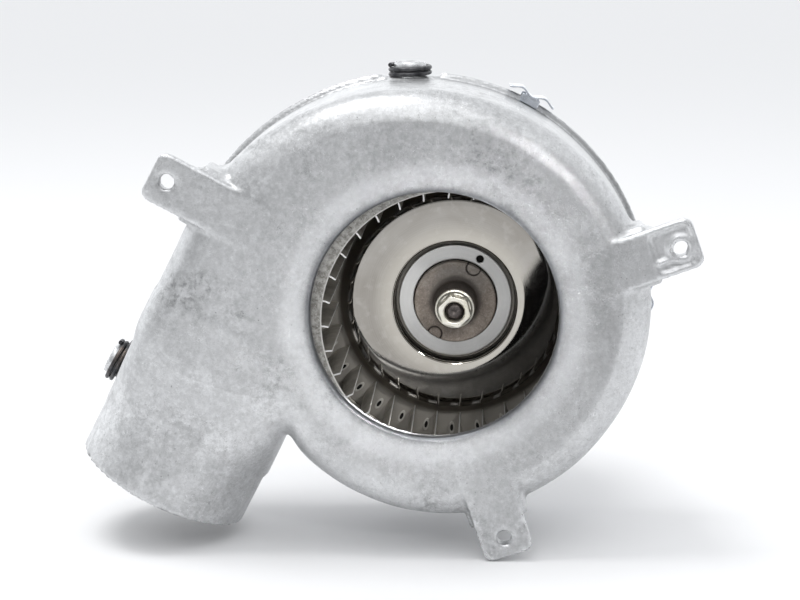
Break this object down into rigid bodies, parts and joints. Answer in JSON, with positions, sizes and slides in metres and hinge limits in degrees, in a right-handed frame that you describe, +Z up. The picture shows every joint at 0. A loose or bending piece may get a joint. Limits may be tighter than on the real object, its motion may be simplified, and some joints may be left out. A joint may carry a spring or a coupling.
{
  "type": "combustion fan",
  "caption": "Flue gas fan: cast scroll with an offset round inlet, spigot outlet and lugs, a forward-curved drum impeller, and a shaded-pole motor on the rear cover.",
  "frame": {"origin": "centre of the shaft's front end face, on the impeller's axis", "axes": "shaft along Y with the inlet and the lug faces towards -Y and the motor towards +Y; +Z up, with the outlet spigot pointing down to the left (-X, -Z); +X right as seen from the inlet side"},
  "size_m": [0.2054, 0.1214, 0.1601],
  "materials": {
    "cast_aluminium": "as cast, cleaned, scuffed",
    "gasket": "matt fibre-filled rubber",
    "damper_rubber": "matt",
    "seal_ptfe": "filled seal compound, matt",
    "impeller_steel": "aluminised sheet, satin, heat-tinted",
    "plate_steel": "turned, satin",
    "sintered_iron": "sintered, brown oxide",
    "plated_steel": "yellow-passivated zinc",
    "shaft_steel": "ground, dull end",
    "lamination": "stacked sheet, varnished",
    "black_plastic": "moulded, matt",
    "white_plastic": "moulded, matt",
    "coil_tape": "copper winding under amber film tape",
    "copper": "bare copper",
    "sintered_bronze": "oil-filled sintered bronze",
    "tin_plate": "tin-plated",
    "spring_wire": "dark drawn spring wire",
    "clip_steel": "bright spring strip"
  },
  "bodies": {
    "frame": {"scroll_housing": "cast_aluminium", "cover_gasket": "gasket", "rear_cover": "cast_aluminium", "shaft_seal": "seal_ptfe", "stator_core": "lamination", "stator_coil_bar": "lamination", "coil_bobbin": "white_plastic", "coil_winding": "coil_tape", "terminal_tab_1": "tin_plate", "terminal_tab_2": "tin_plate", "shading_ring_right": "copper", "shading_ring_left": "copper", "front_bearing_bracket": "cast_aluminium", "rear_bearing_bracket": "cast_aluminium", "front_bearing_bush": "sintered_bronze", "rear_bearing_bush": "sintered_bronze", "thrust_washer_front": "white_plastic", "thrust_washer_rear": "white_plastic", "motor_screw_left": "plated_steel", "motor_screw_right": "plated_steel", "motor_nut_left": "plated_steel", "motor_nut_right": "plated_steel", "earth_tab": "tin_plate", "motor_damper_1": "damper_rubber", "motor_damper_2": "damper_rubber", "motor_damper_3": "damper_rubber", "motor_mount_screw_1": "plated_steel", "motor_mount_screw_2": "plated_steel", "motor_mount_screw_3": "plated_steel", "retaining_spring_top": "spring_wire", "retaining_spring_left": "spring_wire", "rim_clip_upper": "clip_steel", "rim_clip_right": "clip_steel", "rim_clip_bottom": "clip_steel"},
    "rotor": {"motor_shaft": "shaft_steel", "rotor_core": "lamination", "cooling_fan_wheel": "black_plastic", "impeller_blade_cage": "impeller_steel", "impeller_back_disc": "impeller_steel", "impeller_hub_plate": "plate_steel", "impeller_hub": "sintered_iron", "impeller_nut": "plated_steel"}
  },
  "joints": [
    {"name": "rotor_spin", "type": "hinge", "parent": "frame", "child": "rotor", "pos_m": [0, 0, 0], "axis": [0, -1, 0], "continuous": true}
  ]
}
